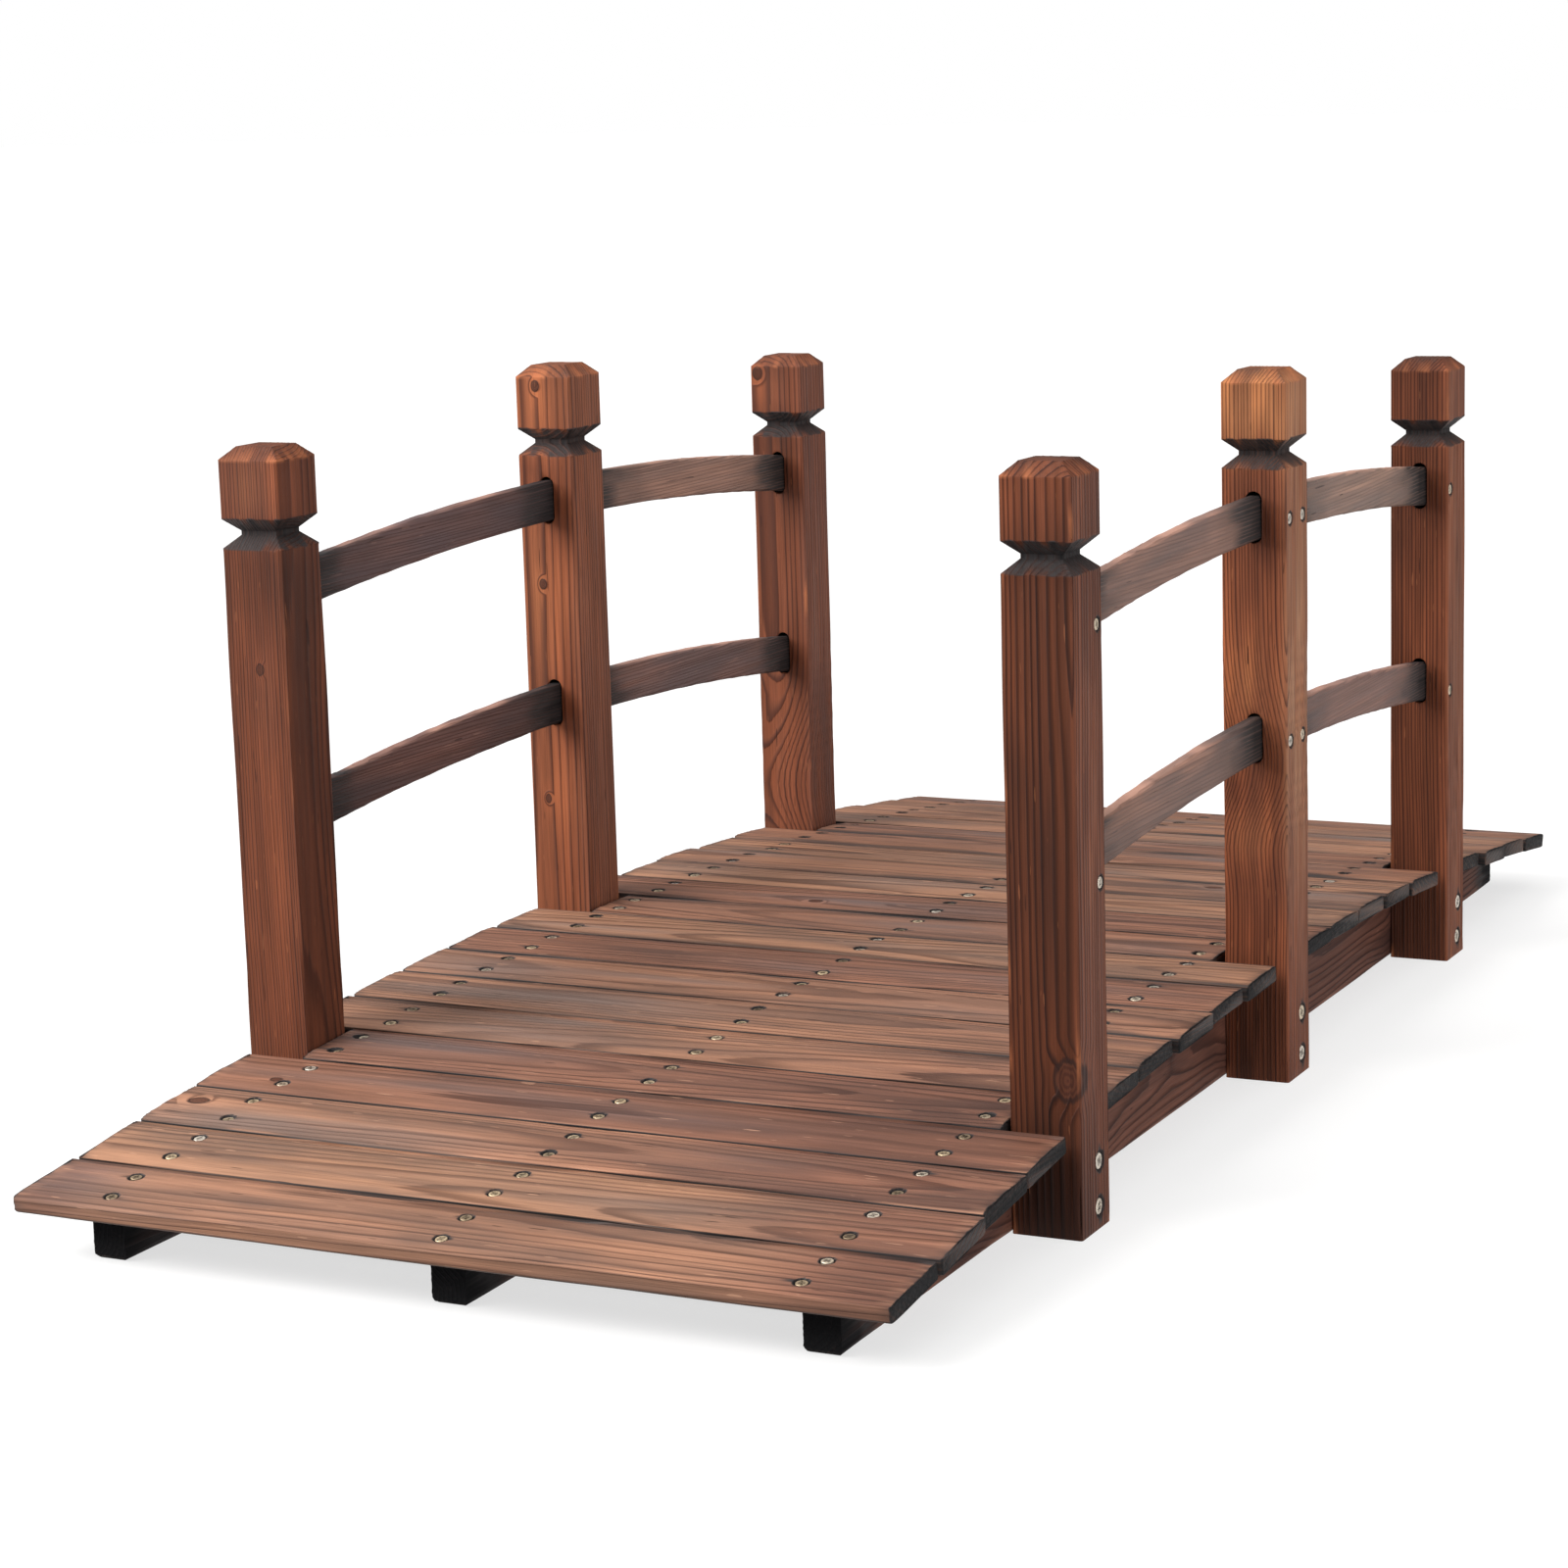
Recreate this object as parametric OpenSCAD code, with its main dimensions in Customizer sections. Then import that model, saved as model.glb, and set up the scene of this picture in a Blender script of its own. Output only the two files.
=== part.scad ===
// Small arched garden bridge: boards on three bowed bearers, capped posts and arched rails.
// Millimetres, +Z up, length along Y, ground at z = 0.

/* [Deck boards] */
// Width of one board along the walk
board_width = 70; // [55:1:80]
// Space between neighbouring boards
board_gap = 1.6; // [0.4:0.2:5]
// Thickness of a board
board_thickness = 13; // [12:0.5:22]
// Length of a full board across the bridge
board_length = 647; // [600:1:680]
// Rounding of a board's long edges
board_arris = 3; // [1:0.5:5]
// Full boards between one pair of posts and the next
boards_between_posts = 5; // [4:1:6]
// Full boards past the end posts
boards_beyond_posts = 4; // [2:1:5]
// Space between a short board's end and the post
short_board_clearance = 5; // [2:0.5:10]

/* [Bearers] */
// Radius of the bow on top of the bearers
arch_radius = 5700; // [5000:50:9000]
// Height of a bearer at the middle of the bow
bearer_middle_height = 83; // [70:1:110]
// Thickness of a bearer
bearer_thickness = 26; // [20:1:40]
// Width over the outer faces of the outer bearers
bearers_overall_width = 557; // [500:1:580]
// How far a bearer's end stands back from the deck's end
bearer_setback = 25; // [10:1:60]
// Rounding of a bearer's bottom edges
bearer_arris = 5; // [2:0.5:8]

/* [Posts] */
// Side of a square post
post_size = 51; // [44:1:60]
// Height of an end post
end_post_height = 520.5; // [450:0.5:650]
// Extra height of a middle post
middle_post_extra = 25; // [16:0.5:45]
// Rounding of a post's upright edges
post_arris = 2; // [0.5:0.5:4]
// Height of the cap's upright faces
cap_height = 42; // [25:0.5:60]
// Inset of the bevel around the cap's top
cap_bevel_inset = 10; // [4:0.5:16]
// Height of that bevel
cap_bevel_height = 9.5; // [4:0.5:16]
// Height of the V cut under the cap
neck_cut_height = 22; // [14:0.5:30]
// Depth of the V cut on each side
neck_cut_depth = 10.5; // [5:0.5:15]
// Height of the narrow flat at the bottom of the V
neck_flat_height = 3; // [0.5:0.5:8]

/* [Rails] */
// Height of a rail
rail_height = 33; // [26:0.5:45]
// Thickness of a rail
rail_thickness = 11; // [9:0.5:18]
// Rounding of a rail's edges
rail_arris = 2.5; // [2:0.5:4]
// Upper rail's centre below the post's top
upper_rail_below_top = 110; // [104:0.5:140]
// Upper rail's centre to lower rail's centre
rail_spacing = 168; // [120:0.5:220]
// Depth of a blind mortise in a post
mortise_depth = 20; // [12:0.5:21]
// Space on each side of a rail in its mortise
mortise_side_clearance = 1; // [0.5:0.1:2]
// Space above and below a rail in its mortise
mortise_end_clearance = 3; // [3:0.1:6]

/* [Hidden] */
$fn = 96;
overrun = 1;
board_pitch = board_width + board_gap;
board_count = 3 + 2 * boards_between_posts + 2 * boards_beyond_posts;
middle_board = (board_count + 1) / 2;
post_step = boards_between_posts + 1;
degrees_per_mm = 180 / (PI * arch_radius);
arch_centre_z = bearer_middle_height - arch_radius;
deck_end_arc = (board_count * board_pitch - board_gap) / 2;
bearer_end_y = arch_radius * sin(deck_end_arc * degrees_per_mm) - bearer_setback;
bearer_offset = (bearers_overall_width - bearer_thickness) / 2;
post_x = (bearers_overall_width + post_size) / 2;
post_y = arch_radius * sin(post_step * board_pitch * degrees_per_mm);
short_board_length = bearers_overall_width - 2 * short_board_clearance;
middle_post_height = end_post_height + middle_post_extra;
rail_radius = (post_y * post_y + middle_post_extra * middle_post_extra) / (2 * middle_post_extra);
upper_rail_z = middle_post_height - upper_rail_below_top;
lower_rail_z = upper_rail_z - rail_spacing;
mortise_width = rail_thickness + 2 * mortise_side_clearance;
mortise_floor_from_middle = post_size / 2 - mortise_depth;
mortise_floor_from_end = post_y - mortise_floor_from_middle;
board_wood = [0.50, 0.37, 0.31];
bearer_wood = [0.34, 0.24, 0.20];
post_wood = [0.54, 0.31, 0.20];
rail_wood = [0.38, 0.29, 0.27];

function board_name(i) = str("deck_board_", i < 10 ? "0" : "", i);
// Height of a rail's centre line at a distance along the bridge
function rail_centre_z(apex_z, y) = apex_z - rail_radius + sqrt(rail_radius * rail_radius - y * y);

POST_NODES = [
  "front_left_post", "front_right_post", "middle_left_post",
  "middle_right_post", "rear_left_post", "rear_right_post"
];
RAIL_NODES = [
  "front_left_upper_rail", "front_left_lower_rail", "front_right_upper_rail", "front_right_lower_rail",
  "rear_left_upper_rail", "rear_left_lower_rail", "rear_right_upper_rail", "rear_right_lower_rail"
];

// Rectangle about the origin with rounded corners
module rounded_rectangle(width, height, radius) {
  square([width - 2 * radius, height], center = true);
  square([width, height - 2 * radius], center = true);
  for (sx = [-1, 1], sy = [-1, 1])
    translate([sx * (width / 2 - radius), sy * (height / 2 - radius)])
      circle(r = radius);
}

// Board across the bridge, its underside touching the bow at the board's middle
module deck_board(i) {
  steps = i - middle_board;
  beside_post = steps % post_step == 0 && abs(steps) <= post_step;
  length = beside_post ? short_board_length : board_length;
  color(board_wood)
    translate([0, 0, arch_centre_z])
      rotate([-steps * board_pitch * degrees_per_mm, 0, 0])
        translate([-length / 2, 0, arch_radius + board_thickness / 2])
          rotate([90, 0, 90])
            linear_extrude(height = length)
              rounded_rectangle(board_width, board_thickness, board_arris);
}

// Runner with a flat foot and a bowed top
module bearer(x) {
  color(bearer_wood)
    translate([x, 0, 0])
      intersection() {
        translate([-bearer_thickness / 2 - overrun, 0, 0])
          rotate([90, 0, 90])
            linear_extrude(height = bearer_thickness + 2 * overrun)
              bearer_side();
        translate([0, bearer_end_y + overrun, 0])
          rotate([90, 0, 0])
            linear_extrude(height = 2 * (bearer_end_y + overrun))
              bearer_section();
      }
}

// Side of a bearer, in length and height
module bearer_side() {
  intersection() {
    translate([0, arch_centre_z])
      circle(r = arch_radius, $fn = 720);
    union() {
      translate([-bearer_end_y, bearer_arris])
        square([2 * bearer_end_y, bearer_middle_height]);
      translate([-bearer_end_y + bearer_arris, 0])
        square([2 * (bearer_end_y - bearer_arris), bearer_arris + overrun]);
      for (end = [-1, 1])
        translate([end * (bearer_end_y - bearer_arris), bearer_arris])
          circle(r = bearer_arris);
    }
  }
}

// Cross-section of a bearer, square above and rounded at the foot
module bearer_section() {
  foot = bearer_thickness / 2 - bearer_arris;
  translate([-bearer_thickness / 2, bearer_arris])
    square([bearer_thickness, bearer_middle_height + overrun]);
  translate([-foot, 0])
    square([2 * foot, bearer_arris + overrun]);
  for (side = [-1, 1])
    translate([side * foot, bearer_arris])
      circle(r = bearer_arris);
}

// Outline of a post seen from any of its four sides
module post_outline(height) {
  half = post_size / 2;
  eave = height - cap_bevel_height;
  cap_foot = eave - cap_height;
  shoulder = cap_foot - neck_cut_height;
  neck = half - neck_cut_depth;
  neck_top = cap_foot - (neck_cut_height - neck_flat_height) / 2;
  neck_foot = neck_top - neck_flat_height;
  edge = [
    [half, 0], [half, shoulder], [neck, neck_foot], [neck, neck_top], [half, cap_foot],
    [half, eave], [half - cap_bevel_inset, height]
  ];
  polygon(concat(edge, [for (i = [len(edge) - 1:-1:0]) [-edge[i][0], edge[i][1]]]));
}

// Post blank with its cap and neck cut alike on all four sides
module post_blank(height) {
  intersection() {
    linear_extrude(height = height)
      rounded_rectangle(post_size, post_size, post_arris);
    translate([0, post_size / 2 + overrun, 0])
      rotate([90, 0, 0])
        linear_extrude(height = post_size + 2 * overrun)
          post_outline(height);
    translate([-post_size / 2 - overrun, 0, 0])
      rotate([90, 0, 90])
        linear_extrude(height = post_size + 2 * overrun)
          post_outline(height);
  }
}

// Blind round-ended slot for a rail, from a depth inside the post out past one face
module mortise(y_floor, toward, centre_z) {
  straight = rail_height + 2 * mortise_end_clearance - mortise_width;
  reach = mortise_depth + overrun;
  translate([0, toward > 0 ? y_floor : y_floor - reach, centre_z])
    rotate([-90, 0, 0])
      linear_extrude(height = reach) {
        square([mortise_width, straight], center = true);
        for (end = [-1, 1])
          translate([0, end * straight / 2])
            circle(d = mortise_width);
      }
}

// Post standing on the ground beside an outer bearer; along is -1 front, 0 middle, 1 rear
module post(side, along) {
  height = along == 0 ? middle_post_height : end_post_height;
  slot_y = abs(along) * (post_y - post_size / 2) + (1 - abs(along)) * post_size / 2;
  facing = along == 0 ? [-1, 1] : [-along];
  color(post_wood)
    translate([side * post_x, along * post_y, 0])
      difference() {
        post_blank(height);
        for (toward = facing, apex_z = [upper_rail_z, lower_rail_z])
          mortise(toward * mortise_floor_from_middle, toward, rail_centre_z(apex_z, slot_y));
      }
}

// Arched rail in one bay, its square-cut ends against the floors of the mortises
module rail(side, along, apex_z) {
  sweep = 2 * asin((post_y + post_size) / rail_radius);
  near = along > 0 ? mortise_floor_from_middle : -mortise_floor_from_end;
  length = mortise_floor_from_end - mortise_floor_from_middle;
  color(rail_wood)
    intersection() {
      translate([side * post_x, 0, apex_z - rail_radius])
        rotate([0, -90, 0])
          rotate([0, 0, -sweep / 2])
            rotate_extrude(angle = sweep, $fn = 720)
              translate([rail_radius, 0])
                rounded_rectangle(rail_height, rail_thickness, rail_arris);
      translate([side * post_x - rail_thickness, near, 0])
        cube([2 * rail_thickness, length, middle_post_height]);
    }
}

bearer(-bearer_offset);  // left_bearer
bearer(0);  // middle_bearer
bearer(bearer_offset);  // right_bearer
for (i = [1:board_count])
  deck_board(i);
post(-1, -1);  // front_left_post
post(1, -1);  // front_right_post
post(-1, 0);  // middle_left_post
post(1, 0);  // middle_right_post
post(-1, 1);  // rear_left_post
post(1, 1);  // rear_right_post
rail(-1, -1, upper_rail_z);  // front_left_upper_rail
rail(-1, -1, lower_rail_z);  // front_left_lower_rail
rail(1, -1, upper_rail_z);  // front_right_upper_rail
rail(1, -1, lower_rail_z);  // front_right_lower_rail
rail(-1, 1, upper_rail_z);  // rear_left_upper_rail
rail(-1, 1, lower_rail_z);  // rear_left_lower_rail
rail(1, 1, upper_rail_z);  // rear_right_upper_rail
rail(1, 1, lower_rail_z);  // rear_right_lower_rail
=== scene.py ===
"""Looks of a small arched garden bridge: brushed and scorched timber, countersunk screws, soft light."""
import math

import bmesh
import bpy
import numpy as np
from mathutils import Matrix, Vector


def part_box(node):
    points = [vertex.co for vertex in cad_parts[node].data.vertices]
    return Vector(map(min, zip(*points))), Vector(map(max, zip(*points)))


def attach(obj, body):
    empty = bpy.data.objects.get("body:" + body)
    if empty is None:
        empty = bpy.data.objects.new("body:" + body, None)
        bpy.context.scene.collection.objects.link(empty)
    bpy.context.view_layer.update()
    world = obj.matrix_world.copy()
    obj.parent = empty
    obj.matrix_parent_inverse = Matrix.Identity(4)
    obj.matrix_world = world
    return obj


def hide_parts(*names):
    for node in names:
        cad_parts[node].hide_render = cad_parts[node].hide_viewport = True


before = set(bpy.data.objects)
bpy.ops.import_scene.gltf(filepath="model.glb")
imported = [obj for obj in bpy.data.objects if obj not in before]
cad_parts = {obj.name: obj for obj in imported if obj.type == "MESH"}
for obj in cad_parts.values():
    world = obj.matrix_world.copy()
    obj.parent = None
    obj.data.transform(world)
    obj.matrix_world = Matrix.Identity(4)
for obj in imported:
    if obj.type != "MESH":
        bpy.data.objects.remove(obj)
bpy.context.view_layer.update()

# Layout of the timber, in metres
ARCH_RADIUS = 5.7
BEARER_MIDDLE_HEIGHT = 0.083
BOARD_PITCH = 0.0716
BOARD_WIDTH = 0.070
BOARD_THICKNESS = 0.013
BOARD_COUNT = 21
MIDDLE_BOARD = 11
POST_HALF = 0.0255
SHOULDER_BELOW_TOP = 0.0735
CAP_FOOT_BELOW_TOP = 0.0515
CAP_BEVEL_HEIGHT = 0.0095
DECK_LEVEL = 0.10

# Softened edges: which corners, in degrees, and how wide, in metres
BOARD_CORNERS = 60.0
BOARD_SOFTNESS = 0.0014
POST_CORNERS = 28.0
POST_SOFTNESS = 0.0004

# Screws, in metres; the countersink is in head radii
BEARER_LINES = (-0.2575, 0.0, 0.257)
BOARD_SCREW_SPREAD = 0.0165
FOOT_LEVELS = (0.047, 0.0155)
FOOT_OFFSET = 0.008
MIDDLE_RAIL_LEVELS = (0.4345, 0.2645)
MIDDLE_RAIL_OFFSET = 0.0140
END_RAIL_LEVELS = (0.410, 0.237)
END_RAIL_OFFSET = 0.0168
SCREW_HEAD = 0.0041
FOOT_SCREW_HEAD = 0.0057
COUNTERSINK = 1.42
HEAD_ROOM = 0.0013
DECK_SCREW_SINK = 0.0013
POST_SCREW_SINK = 0.0007

# Spacing of the cuts that carry the brushed relief
ACROSS_GRAIN = 0.0011
ALONG_GRAIN = 0.012
ROUND_SCREWS = 0.0012
BOARD_EDGE_CUTS = 0.0025
END_INSET = 0.001

# Height of the brushed relief and of the slow unevenness under it
BRUSHED = 0.00030
UNEVEN = 0.00030

# A stick's own axes
ALONG, ACROSS, THROUGH = range(3)

# Where the seeded draws start for each kind of stick
BOARD_SCREW_SEED = 40
RAIL_SEED = 300
BEARER_SEED = 500
BOARD_TIMBER_SEED = 700
BOARD_MARKS_SEED = 900

# Constants that stir the noise
LATTICE_PRIMES = (73856093, 19349663, 83492791)
SEED_STEP = 40503
STIR = 1274126177

# Knots: how far away none is felt, their stretch along the grain, and their depth
NO_KNOT = 9.0
KNOT_STRETCH = 1.35
CORE_DEPTH = 0.45
HALO_ONLY = 1.5

DARKEST_TONE = 0.06
GREYEST = 0.85


def camera_from_photograph():
    azimuth = math.radians(26.3299)
    elevation = math.radians(10.5007)
    roll = math.radians(-1.7036)
    stand = (1.22843, -2.69970, 0.76338)
    forward = Vector((
        -math.sin(azimuth) * math.cos(elevation),
        math.cos(azimuth) * math.cos(elevation),
        -math.sin(elevation),
    ))
    level = Vector((math.cos(azimuth), math.sin(azimuth), 0.0))
    upright = level.cross(forward)
    right = level * math.cos(roll) + upright * math.sin(roll)
    up = upright * math.cos(roll) - level * math.sin(roll)
    data = bpy.data.cameras.new("view")
    data.sensor_width = 36.0
    data.lens = 86.368
    data.clip_end = 200.0
    view = bpy.data.objects.new("view", data)
    turn = Matrix((right, up, -forward)).transposed().to_4x4()
    view.matrix_world = Matrix.Translation(stand) @ turn
    bpy.context.scene.collection.objects.link(view)
    bpy.context.scene.camera = view


def soft_lamp(name, toward, spread, strength, colour):
    """A broad far light: toward is the way to it, spread its width in degrees."""
    data = bpy.data.lights.new(name, "SUN")
    data.energy = strength
    data.angle = math.radians(spread)
    data.color = colour
    lamp = bpy.data.objects.new(name, data)
    lamp.rotation_euler = Vector(toward).to_track_quat("Z", "Y").to_euler()
    bpy.context.scene.collection.objects.link(lamp)


def near_box_lamp():
    data = bpy.data.lights.new("near_box", "AREA")
    data.shape = "RECTANGLE"
    data.size = 1.2
    data.size_y = 0.8
    data.energy = 26.0
    lamp = bpy.data.objects.new("near_box", data)
    lamp.location = (-1.5, -1.5, 1.1)
    aim = Vector((-0.25, -0.55, 0.15))
    lamp.rotation_euler = (lamp.location - aim).to_track_quat("Z", "Y").to_euler()
    bpy.context.scene.collection.objects.link(lamp)


def sky():
    """Soft grey light from all round, behind a white backdrop that only the camera sees."""
    world = bpy.data.worlds.new("studio")
    world.use_nodes = True
    bpy.context.scene.world = world
    nodes = world.node_tree.nodes
    dome = nodes["Background"]
    dome.inputs["Color"].default_value = (1.0, 1.0, 1.0, 1.0)
    dome.inputs["Strength"].default_value = 0.24
    backdrop = nodes.new("ShaderNodeBackground")
    backdrop.inputs["Color"].default_value = (1.0, 1.0, 1.0, 1.0)
    path = nodes.new("ShaderNodeLightPath")
    choice = nodes.new("ShaderNodeMixShader")
    links = world.node_tree.links
    links.new(path.outputs["Is Camera Ray"], choice.inputs[0])
    links.new(dome.outputs[0], choice.inputs[1])
    links.new(backdrop.outputs[0], choice.inputs[2])
    links.new(choice.outputs[0], nodes["World Output"].inputs["Surface"])


def paper_floor():
    ground = bmesh.new()
    bmesh.ops.create_grid(ground, x_segments=1, y_segments=1, size=60.0)
    mesh = bpy.data.meshes.new("floor")
    ground.to_mesh(mesh)
    ground.free()
    floor = bpy.data.objects.new("floor", mesh)
    bpy.context.scene.collection.objects.link(floor)
    floor.visible_diffuse = False
    paper = bpy.data.materials.new("pale_paper")
    paper.use_nodes = True
    sheet = paper.node_tree.nodes["Principled BSDF"]
    sheet.inputs["Base Color"].default_value = (0.36, 0.36, 0.36, 1.0)
    sheet.inputs["Emission Color"].default_value = (1.0, 1.0, 1.0, 1.0)
    sheet.inputs["Emission Strength"].default_value = 0.68
    sheet.inputs["Roughness"].default_value = 0.9
    sheet.inputs["Specular IOR Level"].default_value = 0.0
    mesh.materials.append(paper)


def studio():
    bpy.context.scene.view_settings.view_transform = "Standard"
    sky()
    soft_lamp("overhead", (-0.25, -0.2, 1.0), spread=110.0, strength=2.0, colour=(1.0, 0.99, 0.98))
    soft_lamp("key", (-1.5, -2.0, 2.4), spread=26.0, strength=1.25, colour=(1.0, 0.98, 0.95))
    soft_lamp("side", (3.0, -0.4, 0.75), spread=50.0, strength=1.15, colour=(1.0, 0.99, 0.98))
    near_box_lamp()
    paper_floor()


def smooth_noise(points, seed):
    """Smooth noise from -1 to 1 on a unit lattice."""
    cell = np.floor(points).astype(np.int64)
    part = points - cell
    part = part * part * part * (part * (part * 6.0 - 15.0) + 10.0)
    total = np.zeros(len(points))
    for corner in np.ndindex(2, 2, 2):
        key = (cell + np.array(corner)) * np.array(LATTICE_PRIMES)
        mixed = key[:, 0] ^ key[:, 1] ^ key[:, 2] ^ (seed + 1) * SEED_STEP
        mixed = (mixed ^ (mixed >> 13)) * STIR & 0xFFFFFFFF
        value = ((mixed ^ (mixed >> 16)) & 0xFFFF) / 32767.5 - 1.0
        total += value * np.prod(np.where(np.array(corner) == 1, part, 1.0 - part), axis=1)
    return total


def ease(low, high, x):
    """Smooth step from 0 at low to 1 at high; low may be the larger."""
    part = np.clip((x - low) / (high - low), 0.0, 1.0)
    return part * part * (3.0 - 2.0 * part)


def ramp(low, high, x):
    return min(1.0, max(0.0, (x - low) / (high - low)))


class Timber:
    """How one stick was sawn and what happened to it.

    heart is where the middle of the tree lay, across and through the stick; ring the width of a year.
    bends are (along, spread, sideways, deep): the grain swerves there.
    knots are (along, across, through, radius, facing, core): facing is the axis that the knot looks
    along, and without a core only its pale halo shows.
    shades are (along, across, through, three reaches, amount): lighter or darker places, some of them
    painted light and shade; dull lists greyed ones, some of them partly a painted sheen.
    """

    def __init__(
        self, seed, heart, ring, drift=(0.0, 0.0), tone=0.5, bends=(), knots=(), shades=(), dull=()
    ):
        self.seed = seed
        self.heart = heart
        self.ring = ring
        self.drift = drift
        self.tone = tone
        self.bends = bends
        self.knots = knots
        self.shades = shades
        self.dull = dull

    def noise(self, local, sizes, layer):
        """Noise with lumps of the given sizes along, across and through; a layer is one pattern."""
        return smooth_noise(local / np.array(sizes), self.seed + layer)

    def wander(self, local, slow_layer, fine_layer):
        slow = self.noise(local, (0.25, np.inf, np.inf), slow_layer)
        fine = self.noise(local, (0.10, 0.016, 0.016), fine_layer)
        return 0.0025 * slow + 0.0007 * fine

    def years(self, local):
        """Count of the year's ring at each place, with the slow wander of the grain."""
        along, across, through = local.T
        sideways = across - self.heart[0] - self.drift[0] * along + self.wander(local, 0, 11)
        deep = through - self.heart[1] - self.drift[1] * along + self.wander(local, 23, 37)
        for place, spread, side_shift, deep_shift in self.bends:
            swerve = np.exp(-(((along - place) / spread) ** 2))
            sideways = sideways + side_shift * swerve
            deep = deep + deep_shift * swerve
        count = np.hypot(sideways, deep) / self.ring
        uneven_years = 0.16 * np.sin(1.7 * count + self.seed)
        good_and_bad_years = 0.25 * np.sin(0.6 * count + 2.0 * self.seed)
        return count + uneven_years + good_and_bad_years

    def nearest_knot(self, local):
        """Offset from the nearest knot in knot radii, far away where there is none."""
        offset = np.full((len(local), 3), NO_KNOT)
        for along, across, through, radius, facing, core in self.knots:
            here = (local - np.array([along, across, through])) / radius
            here[:, ALONG] /= KNOT_STRETCH
            here[:, facing] = CORE_DEPTH * here[:, facing] if core else HALO_ONLY
            closer = np.linalg.norm(here, axis=1) < np.linalg.norm(offset, axis=1)
            offset[closer] = here[closer]
        return offset

    def patches(self, local, places, start):
        """A value with soft places of more or less of it, streaky along the grain."""
        streaky = 1.0 + 0.4 * self.noise(local, (0.06, 0.005, 0.005), 61)
        total = np.full(len(local), start)
        for along, across, through, reach, amount in places:
            apart = (local - np.array([along, across, through])) / np.array(reach)
            total += amount * streaky * np.exp(-np.sum(apart * apart, axis=1))
        return total

    def shade(self, local):
        return np.maximum(self.patches(local, self.shades, self.tone), DARKEST_TONE)

    def greyed(self, local):
        return np.clip(self.patches(local, self.dull, 0.0), 0.0, GREYEST)


def plain_copy(node, to_local):
    """The node's solid in the stick's own directions, with its flat faces made whole."""
    bm = bmesh.new()
    bm.from_mesh(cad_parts[node].data)
    bmesh.ops.remove_doubles(bm, verts=bm.verts, dist=1e-6)
    bmesh.ops.dissolve_limit(
        bm, angle_limit=math.radians(0.4), use_dissolve_boundaries=False, verts=bm.verts, edges=bm.edges
    )
    bm.transform(to_local)
    bm.normal_update()
    return bm


def soften(bm, least, width):
    """Rounds the edges whose faces turn by more than least degrees."""
    crisp = [e for e in bm.edges if e.is_manifold and e.calc_face_angle(0.0) > math.radians(least)]
    bmesh.ops.bevel(
        bm, geom=crisp, offset=width, offset_type="OFFSET", segments=2, profile=0.5,
        affect="EDGES", clamp_overlap=True, material=-1,
    )
    bm.normal_update()


def slice_faces(bm, axis, places, keep):
    """Cuts the faces that keep() picks, at places along an axis."""
    normal = Vector((0.0, 0.0, 0.0))
    normal[axis] = 1.0
    for place in places:
        faces = [f for f in bm.faces if keep(f)]
        edges = list({e for f in faces for e in f.edges})
        verts = list({v for f in faces for v in f.verts})
        bmesh.ops.bisect_plane(
            bm, geom=verts + edges + faces, dist=1e-7, plane_co=normal * place, plane_no=normal
        )


def slice_all(bm, axis, places):
    slice_faces(bm, axis, places, lambda f: True)


def even_places(low, high, spacing):
    count = max(1, round((high - low) / spacing))
    return [low + (high - low) * i / count for i in range(1, count)]


def places_round(centres, reach):
    """Close places on both sides of each centre."""
    steps = max(1, round(reach / ROUND_SCREWS))
    return sorted({round(c + i * reach / steps, 6) for c in centres for i in range(-steps, steps + 1)})


def countersunk(flat, screws, sink, seed):
    """Depth of the countersinks at each point of a face, and the painted shade in and just round each of
    them.
    """
    depth = np.zeros(len(flat))
    countersink_shade = np.zeros(len(flat))
    rough = smooth_noise(np.column_stack([flat / 0.0025, flat[:, 0] * 0.0]), seed + 91)
    for along, across, head in screws:
        apart = np.hypot(flat[:, 0] - along, flat[:, 1] - across) + 0.0004 * rough
        rim = COUNTERSINK * head
        hole = 1.0 - ease(0.95 * head, rim, apart)
        depth = np.maximum(depth, (sink + HEAD_ROOM) * hole)
        countersink_shade = np.maximum(countersink_shade, 1.0 - ease(rim - 0.0004, rim + 0.0009, apart))
    return depth, countersink_shade


def store(mesh, name, kind, field, values):
    layer = mesh.attributes.new(name, kind, "POINT")
    layer.data.foreach_set(field, values.astype(np.float32).ravel())


def finished_piece(name, mesh, crease, material):
    """A piece of the bridge from its mesh, shaded smooth up to a crease angle in degrees."""
    mesh.polygons.foreach_set("use_smooth", np.ones(len(mesh.polygons), bool))
    mesh.set_sharp_from_angle(angle=math.radians(crease))
    mesh.materials.append(material)
    mesh.update()
    piece = bpy.data.objects.new(name, mesh)
    bpy.context.scene.collection.objects.link(piece)
    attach(piece, "root")
    return piece


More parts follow.
